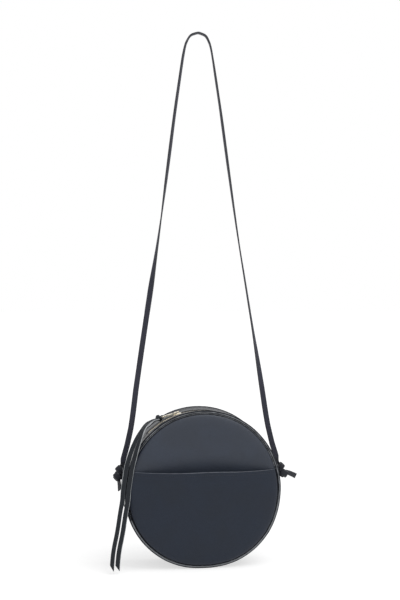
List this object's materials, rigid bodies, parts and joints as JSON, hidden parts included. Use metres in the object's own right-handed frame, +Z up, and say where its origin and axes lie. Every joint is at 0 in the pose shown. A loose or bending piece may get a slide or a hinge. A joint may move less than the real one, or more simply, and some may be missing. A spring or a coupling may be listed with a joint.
{
  "type": "circle bag",
  "caption": "Round leather shoulder bag with piped edges, a half-moon front pocket, a metal zip over its top with a knotted leather pull, and a long narrow strap knotted at each side.",
  "frame": {"origin": "underside of the strap's top bend, where the bag hangs", "axes": "+X to the right as seen from the front, +Y into the depth (the pocket faces -Y), +Z up; the round bag's own axis lies along Y"},
  "size_m": [0.2609, 0.0793, 0.7252],
  "materials": {
    "leather": "matte grained",
    "leather_trim": "matte grained",
    "strap_leather": "satin",
    "piping_cord": "twisted cotton",
    "lining": "plain weave",
    "zip_tape": "herringbone tape",
    "brass": "polished"
  },
  "bodies": {
    "strap_body": {"strap": "strap_leather", "strap_knot_left": "strap_leather", "strap_knot_right": "strap_leather", "strap_tail_left": "strap_leather", "strap_tail_right": "strap_leather"},
    "bag_body": {"front_panel": "leather", "front_pocket": "leather", "back_panel": "leather", "gusset_base": "leather", "zip_strip_front": "leather", "zip_strip_back": "leather", "zip_end_cover_left": "leather", "zip_end_cover_right": "leather", "front_piping": "leather_trim", "back_piping": "leather_trim", "front_piping_cord": "piping_cord", "back_piping_cord": "piping_cord", "lining_front": "lining", "lining_back": "lining", "lining_gusset": "lining", "zip_tape_front": "zip_tape", "zip_tape_back": "zip_tape", "zip_teeth_front": "brass", "zip_teeth_back": "brass", "zip_bottom_stop": "brass", "zip_top_stop_front": "brass", "zip_top_stop_back": "brass", "side_tab_left": "leather_trim", "side_tab_right": "leather_trim"},
    "zip_slider": {"slider_body": "brass", "slider_bridge": "brass"},
    "zip_pull": {"pull_tab": "brass"},
    "pull_lace": {"lace_knot": "strap_leather", "lace_end_outer": "strap_leather", "lace_end_inner": "strap_leather"}
  },
  "joints": [
    {"name": "strap_swing", "type": "hinge", "parent": "strap_body", "child": "bag_body", "pos_m": [0.002, 0, -0.596], "axis": [1, 0, 0], "range_deg": [-45, 45]},
    {"name": "zip_slide", "type": "hinge", "parent": "bag_body", "child": "zip_slider", "pos_m": [0.002, 0, -0.618], "axis": [0, 1, 0], "range_deg": [-21, 58], "deforming": ["zip_teeth_front", "zip_teeth_back", "zip_tape_front", "zip_tape_back"]},
    {"name": "pull_flip", "type": "hinge", "parent": "zip_slider", "child": "zip_pull", "pos_m": [-0.03175, 0, -0.51835], "axis": [0, 1, 0], "range_deg": [0, 150]},
    {"name": "lace_swing", "type": "hinge", "parent": "zip_pull", "child": "pull_lace", "pos_m": [-0.05067, 0, -0.52307], "axis": [0, 1, 0], "range_deg": [0, 70], "deforming": ["lace_end_outer", "lace_end_inner"]}
  ]
}
